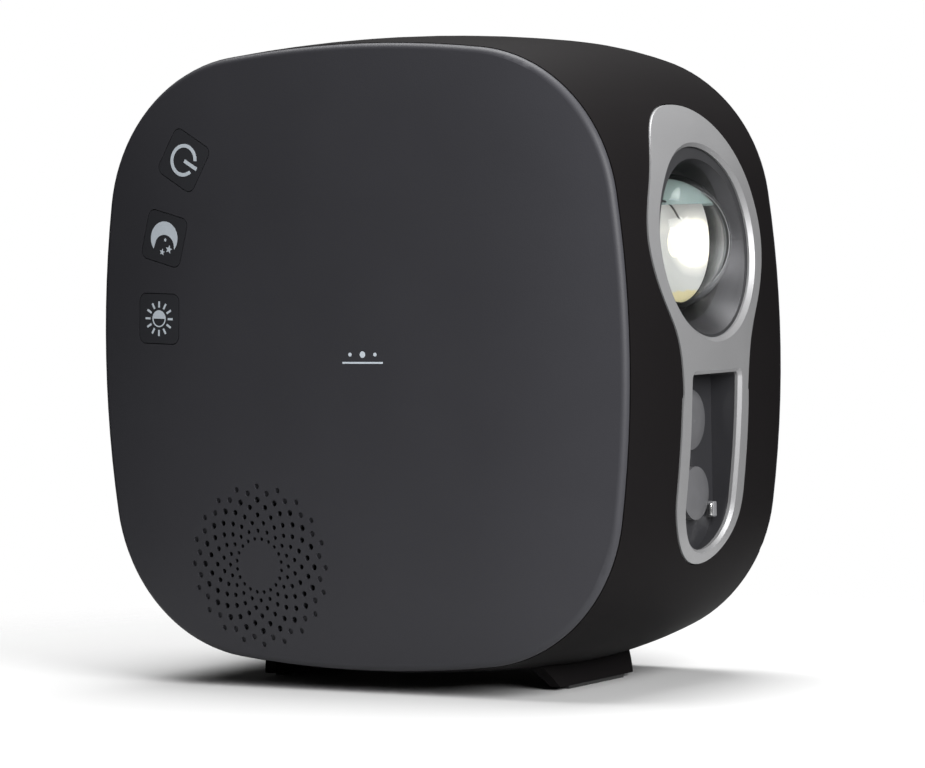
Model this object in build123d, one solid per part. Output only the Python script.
from build123d import *
import os
from math import atan2, cos, degrees, hypot, radians, sin

# Table-top night-sky projector. Millimetres, +Z up, standing on its feet.
# Shapes are drawn about the body's centre: the lens looks along -Y, the control panel faces -X.
# The last lines lift them, so that the origin is on the floor, under the middle of the object.

# Body outline seen from the side, in the YZ plane: eight tangent arcs.
half_length = 74.15
half_height = 75.0
corner_radius = 42.0
corner_y = 29.9
corner_z = 31.2
floor_gap = 2.5

# Band: the wall that runs round the outline, and bulges along X
band_width = 73.4
band_bulge = 2.5
band_wall = 2.4
seam = 0.35

# Side covers: shallow domes, flat over the middle
dome_height = 4.0
dome_flat_inset = 38.0
cover_wall = 2.2
cover_edge_radius = 1.6
edge_drop = 2.3
lip_wall = 1.5
lip_depth = 4.0

# Front bezel: half of the keyhole outline as (x, z), from the top down to its round end
keyhole_half = [(0, 56.9), (15.3, 52.0), (23.4, 40.0), (27.3, 26.0), (22.7, 12.0),
                (17.0, 1.0), (15.5, -12.0), (16.2, -32.6)]
bezel_proud = 0.25
bezel_lip = 1.3
bezel_back = 4.0
bezel_flange = 4.5
lens_chamfer = 1.0
window_chamfer = 0.8
post_radius = 2.8
post_places = [(-17.5, 50.5), (17.5, 50.5), (-12.0, -47.0), (12.0, -47.0)]

# Ball lens and the cone that holds it, on the optical axis
optic_z = 25.3
ball_radius = 16.0
ball_y = -60.3
lens_opening = 21.9
shroud_wall = 1.2
shroud_throat = 16.6
shroud_throat_y = -63.0
shroud_back_y = -55.0
shroud_front_y = -76.0
seat_radius = 15.85
ball_fit = 0.05
globe_wall = 1.2
globe_opening = 12.5
globe_cut_y = 8.5

# Dished reflector inside the glass globe, and its tube: y from the globe's centre
dish_radius = 13.6
dish_rim_y = -5.2
dish_middle_y = -3.2
dish_wall = 1.0
dish_hole = 3.6
dish_tube_radius = 11.0

# Pocket under the ball lens
window_half = 11.4
window_top = -4.85
window_end_z = -34.2
liner_wall = 1.2
pocket_floor_y = -66.2
floor_wall = 1.5
moon_z = -15.6
moon_radius = 7.0
moon_front_y = -67.9
star_z = -32.5
star_radius = 6.2
star_front_y = -69.0

# Light engine behind the ball
plate_y = -31.0
plate_wall = 2.4
led_hole = 8.5
wheel_axis_z = 13.5
wheel_y = -37.0
wheel_wall = 2.2
gear_module = 0.6
wheel_teeth = 72
pinion_teeth = 12
pinion_direction = -135.0
axle_radius = 1.5
running_gap = 0.05
shaft_radius = 1.0
motor_radius = 8.0
motor_length = 15.0
sink_half = 14.0
sink_base = 3.0
sink_depth = 16.0

# Buttons on the control panel: name, centre y, centre z, turn about X
buttons = [("power_button", 45.8, 46.7, 30.0),
           ("night_button", 51.8, 28.4, 15.0),
           ("brightness_button", 53.8, 9.4, 2.0)]
button_size = 12.1
button_corner = 2.0
button_gap = 0.2
button_flange = 14.4
button_travel = 0.6
button_board_x = -31.5
switch_height = 4.1
board_wall = 1.2

# Speaker and its grille: ring radius, angle offset, hole diameter
speaker_y = 26.5
speaker_z = -48.5
grille_rings = [(6.3, 9, 0.95), (8.2, 0, 1.05), (10.1, 9, 1.15), (11.9, 0, 1.25), (13.8, 9, 1.35),
                (15.45, 0, 1.5)]
dimple_rings = [(17.1, 9, 1.4), (18.6, 0, 1.3)]
grille_count = 20
dimple_depth = 0.5
speaker_radius = 16.4
speaker_front_x = -35.1
seat_x = -36.2
panel_root_x = -38.5

# Main board, power inlet, screws
main_board_x = 22.0
main_board_y = 15.0
main_board_length = 70.0
main_board_height = 90.0
pillar_radius = 3.0
inlet_z = -40.0
inlet_width = 9.0
inlet_height = 3.2
inlet_back_y = 70.4
shelf_half = 11.0
shelf_wall = 3.1
vent_z = 30.0
vent_length = 22.0
vent_width = 2.0
vent_places = [-15, -10, -5, 0, 5, 10, 15]
screw_radius = 1.2
screw_head = 2.4
pilot_depth = 9.0
lug_places = [(-40.0, 59.0), (-49.0, -49.0), (52.0, -47.0), (14.0, 63.0)]
lug_radius = 4.0
lug_x = -24.0
lug_wall = 4.0
web_reach = 8.0
web_length = 22.0
web_width = 3.0

# Feet: a curved blade, wider at the top
foot_bottom_half = 16.8
foot_top_half = 23.6
foot_height = 10.0
foot_corner = 3.0
foot_outer_root = (36.0, -68.6)
foot_outer_bend = (39.2, -73.3)
foot_inner_root = (33.0, -70.0)
foot_inner_bend = (36.2, -73.8)
toe_y = 41.0
toe_wall = 2.6
pad_height = 0.8
pad_half = 13.0
pad_inset = 0.15

# How far the cutting tools reach: y for the front, the back and the plate, x for the panel
front_cut = (-90, -50)
rear_cut = (60, 90)
plate_cut = (-40, -20)
panel_cut = (-60, -34)

# Derived values
side_reach = half_length - corner_y
top_reach = half_height - corner_z
side_radius = (side_reach**2 + corner_z**2 - corner_radius**2) / (2 * (side_reach - corner_radius))
top_radius = (top_reach**2 + corner_y**2 - corner_radius**2) / (2 * (top_reach - corner_radius))
side_angle = degrees(atan2(corner_z, corner_y + side_radius - half_length))
top_angle = degrees(atan2(corner_y, corner_z + top_radius - half_height))
half_width = band_width / 2
floor_z = -half_height - floor_gap
ball_front = ball_radius - ball_y
body_shift_y = (ball_front - half_length) / 2
pitch_radius = gear_module * wheel_teeth / 2
centre_distance = gear_module * (wheel_teeth + pinion_teeth) / 2
pinion_x = centre_distance * cos(radians(pinion_direction))
pinion_z = wheel_axis_z + centre_distance * sin(radians(pinion_direction))
lip_inset = band_bulge + band_wall + 0.2

# The outline's arcs: centre y, centre z, radius, start angle, end angle, from +Y towards +Z
rear_arc = (half_length - side_radius, 0, side_radius, -side_angle, side_angle)
top_rear_arc = (corner_y, corner_z, corner_radius, side_angle, 90 - top_angle)
top_arc = (0, half_height - top_radius, top_radius, 90 - top_angle, 90 + top_angle)
top_front_arc = (-corner_y, corner_z, corner_radius, 90 + top_angle, 180 - side_angle)
front_arc = (side_radius - half_length, 0, side_radius, 180 - side_angle, 180 + side_angle)
low_front_arc = (-corner_y, -corner_z, corner_radius, 180 + side_angle, 270 - top_angle)
bottom_arc = (0, top_radius - half_height, top_radius, 270 - top_angle, 270 + top_angle)
low_rear_arc = (corner_y, -corner_z, corner_radius, 270 + top_angle, 360 - side_angle)
front_arcs = [top_front_arc, front_arc, low_front_arc]
base_arcs = [low_front_arc, bottom_arc, low_rear_arc]
all_arcs = [rear_arc, top_rear_arc, top_arc, top_front_arc, front_arc] + base_arcs


def joined(shapes):
    """One solid from shapes that touch or overlap."""
    return shapes[0].fuse(*shapes[1:]).clean()


def ring(section, arcs):
    """Turn a section, drawn as (inset from the outline, x), about the centre of each arc."""
    sectors = []
    for centre_y, centre_z, radius, start, end in arcs:
        outward = Vector(0, cos(radians(start)), sin(radians(start)))
        centre = Vector(0, centre_y, centre_z)
        normal = (-outward).cross(Vector(1, 0, 0))
        plane = Plane(origin=centre + outward * radius, x_dir=-outward, z_dir=normal)
        sectors.append(revolve(plane * section, Axis(centre, (1, 0, 0)), end - start))
    return joined(sectors)


def outline_face(inset):
    """The body outline, moved inwards, as a flat face in YZ."""
    edges = [CenterArc((y, z), radius - inset, start, end - start) for y, z, radius, start, end in all_arcs]
    return Plane.YZ * make_face(edges)


def bulged(inner, outer, reach):
    """Section between two parallel bulged lines, at the insets inner and outer."""
    drop = band_bulge * (reach / half_width)**2
    edges = [ThreePointArc((outer + drop, -reach), (outer, 0), (outer + drop, reach)),
             Line((outer + drop, reach), (inner + drop, reach)),
             ThreePointArc((inner + drop, reach), (inner, 0), (inner + drop, -reach)),
             Line((inner + drop, -reach), (outer + drop, -reach))]
    return make_face(edges)


def front_shell(outer, inner, reach=34.0):
    """The part of the body's front between two insets."""
    return ring(bulged(inner, outer, reach), front_arcs)


def along_y(face, y_from, y_to):
    """Extrude a face drawn as (x, z) between two places on Y."""
    return Pos(0, y_to, 0) * extrude(Plane.XZ * face, y_to - y_from)


def along_x(face, x_from, x_to):
    """Extrude a face drawn as (y, z) between two places on X."""
    return Pos(x_from, 0, 0) * extrude(Plane.YZ * face, x_to - x_from)


def disc(x, z, radius, y_from, y_to):
    return along_y(Pos(x, z) * Circle(radius), y_from, y_to)


def peg(y, z, radius, x_from, x_to):
    return along_x(Pos(y, z) * Circle(radius), x_from, x_to)


def block(x_from, x_to, y_from, y_to, z_from, z_to):
    size = (x_to - x_from, y_to - y_from, z_to - z_from)
    middle = ((x_from + x_to) / 2, (y_from + y_to) / 2, (z_from + z_to) / 2)
    return Pos(*middle) * Box(*size)


def turned_y(points, z):
    """Revolve a section of (radius, y) points about a line along Y, at height z."""
    section = make_face(Polyline(*points, close=True))
    return Pos(0, 0, z) * revolve(section, Axis.Y, 360)


def turned_x(points, y, z):
    """Revolve a section of (radius, x) points about a line along X."""
    section = Plane((0, 0, 0), x_dir=(0, 1, 0), z_dir=(0, 0, -1)) * make_face(Polyline(*points, close=True))
    return Pos(0, y, z) * revolve(section, Axis.X, 360)


# Band and covers

def dome_section(start_depth, end_depth):
    """Cover section as (inset, height), between two depths under the domed face."""
    edge = band_bulge + seam / 2
    top = dome_height - start_depth
    low = dome_height - end_depth
    edges = [TangentArc((dome_flat_inset, top), (edge, top - edge_drop), tangent=(-1, 0)),
             Line((edge, top - edge_drop), (edge, low - edge_drop)),
             TangentArc((dome_flat_inset, low), (edge, low - edge_drop), tangent=(-1, 0)),
             Line((dome_flat_inset, low), (dome_flat_inset, top))]
    return make_face(edges)


def cover_section():
    """Cover as (inset, height over the band's edge): domed skin, rounded edge and the lip inside the band."""
    edge = band_bulge + seam / 2
    low = dome_height - cover_wall
    span = dome_flat_inset - edge
    large = (span**2 + edge_drop**2) / (2 * edge_drop)
    small = cover_edge_radius
    rise = ((large - small)**2 - (span - small)**2)**0.5
    rim_y = dome_height - large + rise
    tilt = atan2(rise, span - small)
    touch = (edge + small - small * cos(tilt), rim_y + small * sin(tilt))
    middle = (edge + small - small * cos(tilt / 2), rim_y + small * sin(tilt / 2))
    inner = lip_inset + lip_wall
    inner_y = low - large + (large**2 - (dome_flat_inset - inner)**2)**0.5
    lip = [(edge, rim_y), (edge, seam), (lip_inset, seam),
           (lip_inset, -lip_depth), (inner, -lip_depth), (inner, inner_y)]
    edges = [TangentArc((dome_flat_inset, dome_height), touch, tangent=(-1, 0)),
             ThreePointArc(touch, middle, (edge, rim_y)),
             Polyline(*lip),
             TangentArc((dome_flat_inset, low), (inner, inner_y), tangent=(-1, 0)),
             Line((dome_flat_inset, low), (dome_flat_inset, dome_height))]
    return make_face(edges)


def layer_of(section, start_depth, end_depth):
    """Turn a section round the outline and close its flat middle."""
    section = mirror(Pos(0, half_width) * section, Plane.XZ)
    outer_x = -half_width - dome_height + start_depth
    plate = extrude(Pos(outer_x, 0, 0) * outline_face(dome_flat_inset), end_depth - start_depth)
    return joined([ring(section, all_arcs), plate])


def dome(start_depth, end_depth):
    """Layer of a cover on the -X side, between two depths under its domed face."""
    return layer_of(dome_section(start_depth, end_depth), start_depth, end_depth)


def cover_shell():
    """Domed cover with a rounded edge and the lip that enters the band."""
    return layer_of(cover_section(), 0, cover_wall)


def band_lug(y, z):
    """Screw lug that joins the band's wall by a web."""
    outwards = 1 + web_reach / hypot(y, z)
    web = Box(lug_wall, web_length, web_width)
    web = Rot(X=degrees(atan2(z, y))) * web
    web = Pos(lug_x + lug_wall / 2, y * outwards, z * outwards) * web
    return peg(y, z, lug_radius, lug_x, lug_x + lug_wall) + web


def housing_band():
    """Bulged wall round the body, with its openings and the lugs for the cover screws."""
    band = ring(bulged(band_wall, 0, half_width), all_arcs)
    inside = extrude(Pos(-half_width, 0, 0) * outline_face(band_bulge), band_width)
    lugs = [band_lug(y, z) & inside for y, z in lug_places]
    shelf_top = inlet_z - inlet_height / 2 - board_wall - 0.1
    shelf = block(-shelf_half, shelf_half, 57, 70, shelf_top - shelf_wall, shelf_top) & inside
    band = joined([band, shelf] + lugs)
    for y, z in lug_places:
        band = band - peg(y, z, screw_radius + 0.3, lug_x - 1, lug_x + lug_wall + 1)
    band = band - along_y(keyhole(0.25), *front_cut)
    slot = SlotOverall(inlet_width + 1.6, inlet_height + 1.6)
    band = band - along_y(Pos(0, inlet_z) * slot, *rear_cut)
    vent = Rot(Z=90) * SlotOverall(vent_length, vent_width)
    return band - [along_y(Pos(x, vent_z) * vent, *rear_cut) for x in vent_places]


def grille_pegs(rings):
    """Round pegs through the panel, in staggered rings about the speaker's axis."""
    pegs = []
    for radius, offset, diameter in rings:
        for place in range(grille_count):
            angle = radians(offset + place * 360 / grille_count)
            y = speaker_y + radius * sin(angle)
            z = speaker_z + radius * cos(angle)
            pegs.append(peg(y, z, diameter / 2, *panel_cut))
    return pegs


def control_panel():
    """Side cover with the button openings, the grille and the posts that its screws enter."""
    opening = RectangleRounded(button_size, button_size, button_corner)
    holes = [along_x(Pos(y, z) * Rot(Z=turn) * opening, *panel_cut) for _, y, z, turn in buttons]
    panel = cover_shell() - holes - grille_pegs(grille_rings)
    layer = dome(-0.5, dimple_depth)
    panel = panel - [dimple & layer for dimple in grille_pegs(dimple_rings)]
    posts = [peg(y, z, lug_radius, panel_root_x, lug_x) & dome(1.0, 30) for y, z in lug_places]
    seat = peg(speaker_y, speaker_z, speaker_radius + 0.2, panel_root_x - 1.5, seat_x)
    seat = seat - peg(speaker_y, speaker_z, speaker_radius - 1.0, *panel_cut)
    panel = joined([panel, seat & dome(1.0, 12)] + posts)
    for y, z in lug_places:
        panel = panel - peg(y, z, screw_radius + 0.05, lug_x - pilot_depth, lug_x + 1)
    return panel


def far_cover():
    """The other side cover, plain outside, with the pillars of the main board."""
    cover = cover_shell()
    seat = -main_board_x - board_wall
    pillars = [peg(y, z, pillar_radius, panel_root_x - 1, seat) for y, z in board_corners()]
    cover = joined([cover] + pillars)
    for y, z in board_corners():
        cover = cover - peg(y, z, screw_radius + 0.05, seat - 8, seat + 1)
    return mirror(cover, Plane.YZ)


# Front bezel, ball lens and pocket

def keyhole(grow):
    """Silver bezel's outline as (x, z), widened by grow."""
    half = [(x + grow if x else 0, z + (grow if z > 45 else 0)) for x, z in keyhole_half]
    right = Spline(*half, tangents=[(1, 0), (0, -1)])
    left = mirror(right, Plane.YZ)
    reach, end_z = half[-1]
    end = ThreePointArc((reach, end_z), (0, end_z - reach), (-reach, end_z))
    return make_face([right, end, left])


def window(grow):
    """Pocket outline as (x, z): a flat top with small corners and a round lower end."""
    half = window_half + grow
    top = window_top + grow
    body = Pos(0, (top + window_end_z) / 2) * Rectangle(2 * half, top - window_end_z)
    corners = [vertex for vertex in body.vertices() if vertex.Y > window_end_z + 1]
    return fillet(corners, 1.2 + grow) + Pos(0, window_end_z) * Circle(half)


def opening_edges(face):
    """The bezel's front edges round the lens opening, and those round the pocket."""
    air = front_shell(-20, -bezel_proud, 36)
    lens_rim = []
    window_rim = []
    for edge in face.edges():
        points = [edge @ share for share in (0.1, 0.5, 0.9)]
        if any(Vertex(*tuple(point)).distance_to(air) > 0.02 for point in points):
            continue
        if all(abs(hypot(point.X, point.Z - optic_z) - lens_opening) < 0.05 for point in points):
            lens_rim.append(edge)
        elif all(abs(point.X) < window_half + 0.05 and abs(point.Z) < 46 and point.Z < 0 for point in points):
            window_rim.append(edge)
    return lens_rim, window_rim


def front_bezel():
    """Keyhole face that follows the band, a flange behind it and four screw posts."""
    openings = disc(0, optic_z, lens_opening, *front_cut) + along_y(window(0), *front_cut)
    face = (along_y(keyhole(0), *front_cut) & front_shell(-bezel_proud, bezel_back)) - openings
    lens_rim, _ = opening_edges(face)
    face = chamfer(lens_rim, lens_chamfer)
    _, window_rim = opening_edges(face)
    face = chamfer(window_rim, window_chamfer)
    flange = along_y(keyhole(bezel_flange), *front_cut) & front_shell(band_wall + 0.2, bezel_back)
    posts = [disc(x, z, post_radius, -75, plate_y) for x, z in post_places]
    posts = [post - front_shell(-20, bezel_back - 0.5) for post in posts]
    bezel = joined([face, flange - openings] + posts)
    deep = front_shell(bezel_lip, 12)
    bezel = bezel - (disc(0, optic_z, lens_opening + shroud_wall, *front_cut) & deep)
    bezel = bezel - (along_y(window(liner_wall + 0.05), *front_cut) & deep)
    for x, z in post_places:
        bezel = bezel - disc(x, z, screw_radius + 0.05, plate_y - 8, plate_y + 1)
    return bezel


def lens_shroud():
    """Dark cone from the bezel down to the ball's equator, with the ball's seat."""
    outer = lens_opening + shroud_wall - 0.1
    points = [(outer - 0.2, shroud_front_y), (shroud_throat, shroud_throat_y),
              (seat_radius, shroud_throat_y + 0.4), (seat_radius, shroud_back_y),
              (outer, shroud_back_y), (outer, shroud_front_y)]
    cone = turned_y(points, optic_z)
    ball_space = Pos(0, ball_y, optic_z) * Sphere(ball_radius + ball_fit)
    entry = disc(0, optic_z, ball_radius + ball_fit, ball_y, shroud_back_y)
    return cone - ball_space - entry - front_shell(-20, bezel_lip + 0.1, 36.0)


def ball_lens():
    """Glass globe, open behind."""
    globe = Sphere(ball_radius) - Sphere(ball_radius - globe_wall)
    globe = Pos(0, ball_y, optic_z) * globe
    return globe - disc(0, optic_z, globe_opening, ball_y + globe_cut_y, ball_y + 20)


def lens_reflector():
    """Dish that faces forward inside the globe, on a tube that reaches back to the chamber."""
    rim = ball_y + dish_rim_y
    middle = ball_y + dish_middle_y
    tube = dish_tube_radius
    points = [(dish_hole, middle), (dish_radius, rim), (dish_radius, rim + dish_wall), (tube, middle + 0.6),
              (tube, -50), (tube - 1, -50), (tube - 1, middle + dish_wall), (dish_hole, middle + dish_wall)]
    return turned_y(points, optic_z)


def lens_retainer():
    """Ring pushed in behind the ball, with a round seat."""
    outer = ball_radius
    ring_body = disc(0, optic_z, outer, -57.5, -50) + disc(0, optic_z, outer + 5, shroud_back_y, -53)
    ring_body = ring_body - disc(0, optic_z, 13.0, -60, -49)
    return ring_body - Pos(0, ball_y, optic_z) * Sphere(ball_radius + ball_fit)


def light_chamber():
    """Pale reflector cone between the ring behind the ball and the turning wheel."""
    points = [(9.6, -50), (15.9, -50), (15.9, -48.5), (8.7, -38.4), (7.6, -38.4), (9.0, -48.8)]
    return turned_y(points, optic_z)


def window_liner():
    """Dark pocket with two holes for the small lenses."""
    back = pocket_floor_y + floor_wall
    liner = along_y(window(liner_wall), -80, back) - along_y(window(0), -85, pocket_floor_y)
    liner = liner - front_shell(-20, bezel_lip + 0.1, 36.0)
    liner = liner - disc(0, moon_z, moon_radius, -85, -60)
    return liner - disc(0, star_z, star_radius, -85, -60)


def small_lens(radius, z, front_y):
    """Round lens with a shallow domed front, standing in the pocket's floor."""
    back = pocket_floor_y + floor_wall
    rim_y = front_y + 1.0
    edges = [Line((0, back), (radius, back)),
             Line((radius, back), (radius, rim_y)),
             TangentArc((0, front_y), (radius, rim_y), tangent=(1, 0)),
             Line((0, front_y), (0, back))]
    return Pos(0, 0, z) * revolve(make_face(edges), Axis.Y, 360)


def moon_barrel():
    """Tube behind the upper lens."""
    back = pocket_floor_y + floor_wall
    return disc(0, moon_z, moon_radius + 1, back, -46) - disc(0, moon_z, moon_radius - 0.6, back - 1, -45)


def moon_lamp():
    """Round lamp board that closes the tube, with one small lamp."""
    board = disc(0, moon_z, moon_radius + 1, -46, -46 + board_wall)
    return board + block(-1.6, 1.6, -47.2, -45.9, moon_z - 1.6, moon_z + 1.6)


def star_grating():
    """Thin disc that splits the beam into stars."""
    back = pocket_floor_y + floor_wall
    return disc(0, star_z, star_radius - 0.2, back, back + 0.6)


def laser_module():
    """Brass barrel with a stepped nose and a small aperture."""
    front = pocket_floor_y + floor_wall + 0.6
    barrel = disc(0, star_z, star_radius - 0.2, front, -48) + disc(0, star_z, star_radius - 1.2, -48, -43)
    return barrel - disc(0, star_z, 1.5, front - 1, front + 8)


# Light engine

def optics_plate():
    """Upright plate that carries the motor, the wheel's axle and the lamp board."""
    back = plate_y + plate_wall
    plate = along_y(Pos(0, 2) * RectangleRounded(54, 108, 6), plate_y, back)
    plate = plate - disc(0, optic_z, led_hole, *plate_cut)
    plate = plate - disc(pinion_x, pinion_z, 2.2, *plate_cut)
    plate = plate - along_y(Pos(0, -28) * RectangleRounded(26, 26, 4), *plate_cut)
    for x, z in post_places:
        plate = plate - disc(x, z, screw_radius + 0.2, *plate_cut)
    return plate


def gear_face(teeth, first_angle):
    """Gear outline as (x, z): straight-sided teeth, thinned a little so that a pair runs free."""
    pitch = gear_module * teeth / 2
    tip = pitch + 0.85 * gear_module
    root = pitch - 1.15 * gear_module
    step = 360 / teeth
    points = []
    for tooth in range(teeth):
        middle = first_angle + tooth * step
        for radius, share in ((root, -0.34), (tip, -0.12), (tip, 0.12), (root, 0.34)):
            angle = radians(middle + share * step)
            points.append((radius * cos(angle), radius * sin(angle)))
    return make_face(Polyline(*points, close=True))


def wheel_gear():
    """Toothed rim, three spokes and a hub."""
    back = wheel_y + wheel_wall
    first = pinion_direction + 180 / wheel_teeth
    rim = along_y(Pos(0, wheel_axis_z) * gear_face(wheel_teeth, first), wheel_y, back)
    rim = rim - disc(0, wheel_axis_z, pitch_radius - 2.6, wheel_y - 1, back + 1)
    hub = disc(0, wheel_axis_z, 3.4, wheel_y, back)
    spokes = []
    for angle in (30, 150, 270):
        bar = Pos(0, wheel_axis_z) * Rot(Z=angle) * Pos(11, 0) * Rectangle(18, 1.6)
        spokes.append(along_y(bar, wheel_y + 1.2, back))
    gear = joined([rim, hub] + spokes)
    return gear - disc(0, wheel_axis_z, axle_radius + running_gap, wheel_y - 1, back + 1)


def nebula_film():
    """Printed film disc on the front of the spokes."""
    film = disc(0, wheel_axis_z, pitch_radius - 2.7, wheel_y + 0.6, wheel_y + 1.2)
    return film - disc(0, wheel_axis_z, 3.5, wheel_y, wheel_y + 2)


def wheel_axle():
    """Fixed pin in the plate, with a collar behind the wheel and a head in front."""
    pin = disc(0, wheel_axis_z, axle_radius, wheel_y - 0.9, plate_y)
    head = disc(0, wheel_axis_z, 2.5, wheel_y - 1.0, wheel_y - 0.2)
    collar = disc(0, wheel_axis_z, 2.5, wheel_y + wheel_wall + 0.2, plate_y)
    return joined([pin, head, collar])


def nebula_motor():
    """Small round geared motor behind the plate, with its lugs."""
    front = plate_y + plate_wall
    can = disc(pinion_x, pinion_z, motor_radius, front, front + motor_length)
    ears = along_y(Pos(pinion_x, pinion_z) * Rot(Z=90) * SlotOverall(23, 5), front, front + 1.0)
    tail = disc(pinion_x, pinion_z, 3.0, front + motor_length, front + motor_length + 2)
    motor = joined([can, ears, tail])
    return motor - disc(pinion_x, pinion_z, shaft_radius + running_gap, front - 1, front + 8)


def motor_shaft():
    front = plate_y + plate_wall
    return disc(pinion_x, pinion_z, shaft_radius, wheel_y - 0.5, front + 7)


def motor_pinion():
    """Small gear pressed on the motor's shaft."""
    back = wheel_y + wheel_wall
    gear = along_y(Pos(pinion_x, pinion_z) * gear_face(pinion_teeth, pinion_direction + 180), wheel_y, back)
    collar = disc(pinion_x, pinion_z, 2.2, back, back + 1.5)
    return joined([gear, collar]) - disc(pinion_x, pinion_z, shaft_radius, wheel_y - 1, plate_y)


def led_board():
    back = plate_y + plate_wall
    return along_y(Pos(0, optic_z) * RectangleRounded(28, 28, 2), back, back + 1.6)


def led_emitters():
    """Four lamps in a square, each a base with a small dome."""
    back = plate_y + plate_wall
    lamps = []
    for x in (-2.8, 2.8):
        for z in (optic_z - 2.8, optic_z + 2.8):
            base = block(x - 1.7, x + 1.7, back - 0.9, back, z - 1.7, z + 1.7)
            ball = Pos(x, back - 0.9, z) * Sphere(1.4)
            lamps.append(base + (ball & block(x - 2, x + 2, back - 3, back - 0.5, z - 2, z + 2)))
    return Compound(lamps)


def heat_sink():
    """Finned block on the back of the lamp board."""
    front = plate_y + plate_wall + 1.6
    low = optic_z - sink_half
    high = optic_z + sink_half
    base = block(-sink_half, sink_half, front, front + sink_base, low, high)
    fins = []
    for x in range(-13, 14, 3):
        fins.append(block(x - 0.6, x + 0.6, front + sink_base, front + sink_depth, low, high))
    return joined([base] + fins)


# Boards, buttons and speaker

def board_corners():
    """Centres of the main board's four screw holes."""
    y_reach = main_board_length / 2 - 5
    z_reach = main_board_height / 2 - 5
    return [(main_board_y + y, z) for y in (-y_reach, y_reach) for z in (-z_reach, z_reach)]


def main_board():
    face = Pos(main_board_y, 0) * RectangleRounded(main_board_length, main_board_height, 2)
    board = along_x(face, main_board_x, main_board_x + board_wall)
    for y, z in board_corners():
        board = board - peg(y, z, screw_radius + 0.2, main_board_x - 1, main_board_x + 3)
    return board


def main_board_chips():
    """Controller, radio module, driver, capacitors and connectors on the board's inner side."""
    parts = [block(main_board_x - 1.4, main_board_x, 8, 18, -4, 6),
             block(main_board_x - 2.4, main_board_x, 26, 40, 14, 30),
             block(main_board_x - 1.6, main_board_x, -8, -2, -22, -16),
             block(main_board_x - 5.5, main_board_x, -12, -2, 22, 30),
             block(main_board_x - 5.5, main_board_x, 36, 46, -26, -18)]
    for y in (6, 16, 26):
        parts.append(peg(y, -32, 3.2, main_board_x - 9, main_board_x))
    return Compound(parts)


def button_board_face(length):
    return Pos(50.0, 28.0) * Rot(Z=14) * RectangleRounded(17, length, 2)


def button_posts():
    """Places of the two small screws between the buttons."""
    return [((low[1] + high[1]) / 2, (low[2] + high[2]) / 2) for low, high in zip(buttons, buttons[1:])]


def button_board():
    board = along_x(button_board_face(54), button_board_x, button_board_x + board_wall)
    for y, z in button_posts():
        board = board - peg(y, z, 1.1, button_board_x - 1, button_board_x + 3)
    return board


def tact_switches():
    """One push switch under each button."""
    switches = []
    for _, y, z, turn in buttons:
        shoulder = button_board_x - switch_height + 0.7
        body = along_x(Pos(y, z) * Rot(Z=turn) * Rectangle(6, 6), shoulder, button_board_x)
        switches.append(joined([body, peg(y, z, 1.6, button_board_x - switch_height, shoulder)]))
    return Compound(switches)


def button_cap(y, z, turn):
    """Cap flush with the panel, a flange that keeps it in, and a stem over its switch."""
    side = button_size - 2 * button_gap
    place = Pos(y, z) * Rot(Z=turn)
    cap = place * RectangleRounded(side, side, button_corner - button_gap)
    cap = along_x(cap, -60, -30) & dome(0, cover_wall + 0.3)
    flange = place * RectangleRounded(button_flange, button_flange, 1.5)
    flange = along_x(flange, -60, -30) & dome(cover_wall + 0.05, cover_wall + 0.95)
    tip_x = button_board_x - switch_height - button_travel - 0.1
    stem = peg(y, z, 1.8, tip_x - 1.4, tip_x)
    return joined([cap, flange, stem])


def dust_mesh():
    return peg(speaker_y, speaker_z, speaker_radius, seat_x, seat_x + 0.3)


def speaker_gasket():
    ring_face = Circle(speaker_radius) - Circle(speaker_radius - 1.8)
    return along_x(Pos(speaker_y, speaker_z) * ring_face, seat_x + 0.3, speaker_front_x)


def speaker_frame():
    """Pressed basket: front flange, sloping wall and a back ring."""
    x = speaker_front_x
    points = [(13.6, x), (speaker_radius, x), (speaker_radius, x + 1.0), (14.8, x + 1.0), (9.4, x + 8.5),
              (9.4, x + 9.5), (4.2, x + 9.5), (4.2, x + 8.7), (8.6, x + 8.7), (8.6, x + 8.3), (13.6, x + 1.3)]
    return turned_x(points, speaker_y, speaker_z)


def speaker_cone():
    """Surround roll, cone and dust cap as one moving paper part."""
    x = speaker_front_x
    points = [(0, x + 3.6), (3.4, x + 4.4), (12.2, x + 0.9), (13.4, x + 0.3), (13.5, x + 0.8),
              (12.4, x + 1.4), (3.6, x + 5.0), (3.6, x + 7.5), (3.2, x + 7.5), (3.2, x + 5.0), (0, x + 4.2)]
    return turned_x(points, speaker_y, speaker_z)


def speaker_magnet():
    x = speaker_front_x + 9.5
    return peg(speaker_y, speaker_z, 8.5, x, x + 5) + peg(speaker_y, speaker_z, 9.2, x + 5, x + 6.2)


# Power inlet, screws, feet

def power_inlet():
    """Metal shell of the power socket with its tongue."""
    place = Pos(0, inlet_z)
    shell = along_y(place * SlotOverall(inlet_width, inlet_height), 62, inlet_back_y)
    shell = shell - along_y(place * SlotOverall(inlet_width - 0.7, inlet_height - 0.7), 64, 71)
    tongue = along_y(place * Rectangle(6.6, 0.7), 63.5, inlet_back_y - 0.8)
    return joined([shell, tongue])


def inlet_board():
    top = inlet_z - inlet_height / 2
    return block(-9, 9, 58, 67.0, top - board_wall, top)


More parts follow.
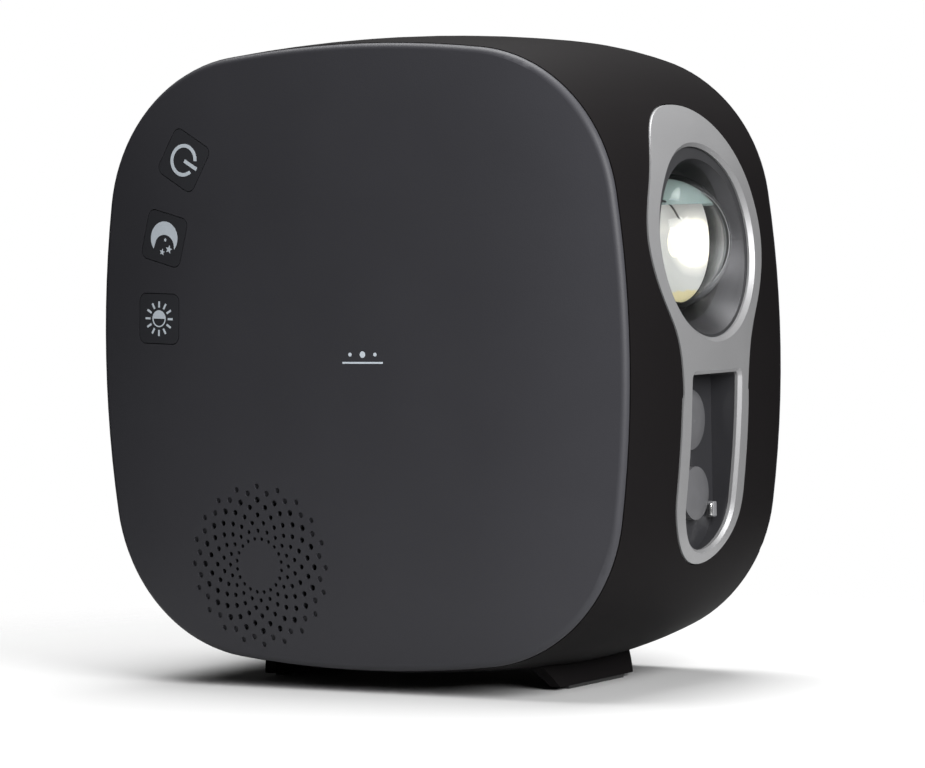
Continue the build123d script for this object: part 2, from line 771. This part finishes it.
def screw(length):
    """Pan-head screw along Z: head above the origin and shank below."""
    head = Pos(0, 0, 0.8) * Cylinder(screw_head, 1.6)
    head = fillet(head.edges().sort_by(Axis.Z)[-1], 0.7)
    shank = Pos(0, 0, -length / 2) * Cylinder(screw_radius, length)
    recess = Pos(0, 0, 1.3) * (Box(2.6, 0.6, 0.8) + Box(0.6, 2.6, 0.8))
    return head + shank - recess


def cover_screws():
    """Driven through the band's lugs into the control panel's posts."""
    driven = Rot(Y=90) * screw(lug_wall + 7)
    return Compound([Pos(lug_x + lug_wall, y, z) * driven for y, z in lug_places])


def optics_screws():
    driven = Rot(X=-90) * screw(plate_wall + 6)
    return Compound([Pos(x, plate_y + plate_wall, z) * driven for x, z in post_places])


def board_screws():
    driven = Rot(Y=-90) * screw(board_wall + 6)
    return Compound([Pos(main_board_x, y, z) * driven for y, z in board_corners()])


def foot(side):
    """Curved blade under the body, splayed outwards on side -1 (front) or +1 (rear)."""
    low = floor_z + pad_height
    top = floor_z + foot_height
    edges = [ThreePointArc(foot_outer_root, foot_outer_bend, (toe_y, low)),
             Line((toe_y, low), (toe_y - toe_wall, low)),
             ThreePointArc((toe_y - toe_wall, low), foot_inner_bend, foot_inner_root),
             Line(foot_inner_root, foot_outer_root)]
    outline = make_face(Polyline((-foot_bottom_half, floor_z), (foot_bottom_half, floor_z),
                                 (foot_top_half, top), (-foot_top_half, top), close=True))
    lower = [vertex for vertex in outline.vertices() if vertex.Y < floor_z + 1]
    outline = fillet(lower, foot_corner)
    blade = along_x(make_face(edges), -foot_top_half, foot_top_half) & along_y(outline, 30, 45)
    blade = blade - ring(bulged(8, 0, half_width), base_arcs)
    if side < 0:
        blade = mirror(blade, Plane.XZ)
    return blade


def foot_pads():
    """Rubber strip under each foot."""
    strips = []
    for side in (-1, 1):
        near, far = sorted((side * (toe_y - toe_wall + pad_inset), side * (toe_y - pad_inset)))
        strips.append(block(-pad_half, pad_half, near, far, floor_z, floor_z + pad_height))
    return Compound(strips)


nodes = {
    "housing_band": housing_band(),
    "control_panel": control_panel(),
    "far_cover": far_cover(),
    "front_bezel": front_bezel(),
    "lens_shroud": lens_shroud(),
    "ball_lens": ball_lens(),
    "lens_reflector": lens_reflector(),
    "lens_retainer": lens_retainer(),
    "light_chamber": light_chamber(),
    "window_liner": window_liner(),
    "moon_lens": small_lens(moon_radius - 0.05, moon_z, moon_front_y),
    "moon_barrel": moon_barrel(),
    "moon_lamp": moon_lamp(),
    "star_lens": small_lens(star_radius - 0.05, star_z, star_front_y),
    "star_grating": star_grating(),
    "laser_module": laser_module(),
    "optics_plate": optics_plate(),
    "wheel_gear": wheel_gear(),
    "nebula_film": nebula_film(),
    "wheel_axle": wheel_axle(),
    "nebula_motor": nebula_motor(),
    "motor_shaft": motor_shaft(),
    "motor_pinion": motor_pinion(),
    "led_board": led_board(),
    "led_emitters": led_emitters(),
    "heat_sink": heat_sink(),
    "main_board": main_board(),
    "main_board_chips": main_board_chips(),
    "button_board": button_board(),
    "tact_switches": tact_switches(),
    "dust_mesh": dust_mesh(),
    "speaker_gasket": speaker_gasket(),
    "speaker_frame": speaker_frame(),
    "speaker_cone": speaker_cone(),
    "speaker_magnet": speaker_magnet(),
    "power_inlet": power_inlet(),
    "inlet_board": inlet_board(),
    "cover_screws": cover_screws(),
    "optics_screws": optics_screws(),
    "board_screws": board_screws(),
    "front_foot": foot(-1),
    "rear_foot": foot(1),
    "foot_pads": foot_pads(),
}
for name, y, z, turn in buttons:
    nodes[name] = button_cap(y, z, turn)

os.makedirs("parts", exist_ok=True)
for name, shape in nodes.items():
    export_step(Pos(0, body_shift_y, -floor_z) * shape, f"parts/{name}.step")
